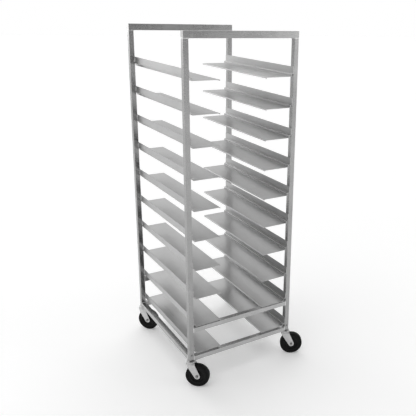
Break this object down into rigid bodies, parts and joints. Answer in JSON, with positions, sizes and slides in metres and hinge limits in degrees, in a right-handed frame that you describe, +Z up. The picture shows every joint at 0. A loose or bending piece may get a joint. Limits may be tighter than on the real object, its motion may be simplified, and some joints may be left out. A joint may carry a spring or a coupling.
{
  "type": "sheet pan rack",
  "caption": "Tall open pan rack of square aluminium tube with wide fixed shelves on both sides and swivel stem casters.",
  "frame": {"origin": "on the floor, under the centre of the frame's four uprights", "axes": "+X to the right along the loading face, +Y from the loading face to the back, +Z up"},
  "size_m": [0.699, 0.7673, 1.7675],
  "materials": {
    "frame_tube": "satin mill finish, lightly brushed along the tube",
    "slide_sheet": "satin mill finish sheet, brushed lengthwise",
    "stem_zinc": "bright zinc plate, slightly dulled",
    "fork_zinc": "bright zinc plate on pressed steel",
    "fastener": "zinc plated",
    "bearing_ball": "polished",
    "core_black": "moulded black plastic",
    "tyre_black": "black rubber, satin"
  },
  "bodies": {
    "frame": {"upright_front_left": "frame_tube", "upright_front_right": "frame_tube", "upright_rear_left": "frame_tube", "upright_rear_right": "frame_tube", "top_rail_front": "frame_tube", "top_rail_rear": "frame_tube", "top_rail_end_caps": "frame_tube", "cross_rail_front_lower": "frame_tube", "cross_rail_front_upper": "frame_tube", "cross_rail_rear_lower": "frame_tube", "cross_rail_rear_upper": "frame_tube", "side_rail_left": "frame_tube", "side_rail_right": "frame_tube", "slide_left_01": "slide_sheet", "slide_left_02": "slide_sheet", "slide_left_03": "slide_sheet", "slide_left_04": "slide_sheet", "slide_left_05": "slide_sheet", "slide_left_06": "slide_sheet", "slide_left_07": "slide_sheet", "slide_left_08": "slide_sheet", "slide_left_09": "slide_sheet", "slide_left_10": "slide_sheet", "slide_right_01": "slide_sheet", "slide_right_02": "slide_sheet", "slide_right_03": "slide_sheet", "slide_right_04": "slide_sheet", "slide_right_05": "slide_sheet", "slide_right_06": "slide_sheet", "slide_right_07": "slide_sheet", "slide_right_08": "slide_sheet", "slide_right_09": "slide_sheet", "slide_right_10": "slide_sheet", "stem_bolts": "fastener", "swivel_balls": "bearing_ball", "caster_stem_front_left": "stem_zinc", "caster_stem_front_right": "stem_zinc", "caster_stem_rear_left": "stem_zinc", "caster_stem_rear_right": "stem_zinc"},
    "swivel_front_left": {"caster_fork_front_left": "fork_zinc", "axle_bolt_and_nut_front_left": "fastener", "axle_sleeve_front_left": "fastener"},
    "wheel_front_left": {"wheel_core_front_left": "core_black", "tyre_front_left": "tyre_black"},
    "swivel_front_right": {"caster_fork_front_right": "fork_zinc", "axle_bolt_and_nut_front_right": "fastener", "axle_sleeve_front_right": "fastener"},
    "wheel_front_right": {"wheel_core_front_right": "core_black", "tyre_front_right": "tyre_black"},
    "swivel_rear_left": {"caster_fork_rear_left": "fork_zinc", "axle_bolt_and_nut_rear_left": "fastener", "axle_sleeve_rear_left": "fastener"},
    "wheel_rear_left": {"wheel_core_rear_left": "core_black", "tyre_rear_left": "tyre_black"},
    "swivel_rear_right": {"caster_fork_rear_right": "fork_zinc", "axle_bolt_and_nut_rear_right": "fastener", "axle_sleeve_rear_right": "fastener"},
    "wheel_rear_right": {"wheel_core_rear_right": "core_black", "tyre_rear_right": "tyre_black"}
  },
  "joints": [
    {"name": "swivel_front_left", "type": "hinge", "parent": "frame", "child": "swivel_front_left", "pos_m": [-0.2888, -0.3323, 0.132], "axis": [0, 0, 1], "continuous": true},
    {"name": "roll_front_left", "type": "hinge", "parent": "swivel_front_left", "child": "wheel_front_left", "pos_m": [-0.26237, -0.35448, 0.062], "axis": [0.6428, 0.766, 0], "continuous": true},
    {"name": "swivel_front_right", "type": "hinge", "parent": "frame", "child": "swivel_front_right", "pos_m": [0.2888, -0.3323, 0.132], "axis": [0, 0, 1], "continuous": true},
    {"name": "roll_front_right", "type": "hinge", "parent": "swivel_front_right", "child": "wheel_front_right", "pos_m": [0.31926, -0.3485, 0.062], "axis": [0.4695, 0.8829, 0], "continuous": true},
    {"name": "swivel_rear_left", "type": "hinge", "parent": "frame", "child": "swivel_rear_left", "pos_m": [-0.2888, 0.3323, 0.132], "axis": [0, 0, 1], "continuous": true},
    {"name": "roll_rear_left", "type": "hinge", "parent": "swivel_rear_left", "child": "wheel_rear_left", "pos_m": [-0.26662, 0.30587, 0.062], "axis": [0.766, 0.6428, 0], "continuous": true},
    {"name": "swivel_rear_right", "type": "hinge", "parent": "frame", "child": "swivel_rear_right", "pos_m": [0.2888, 0.3323, 0.132], "axis": [0, 0, 1], "continuous": true},
    {"name": "roll_rear_right", "type": "hinge", "parent": "swivel_rear_right", "child": "wheel_rear_right", "pos_m": [0.31706, 0.31251, 0.062], "axis": [0.5736, 0.8192, 0], "continuous": true}
  ]
}
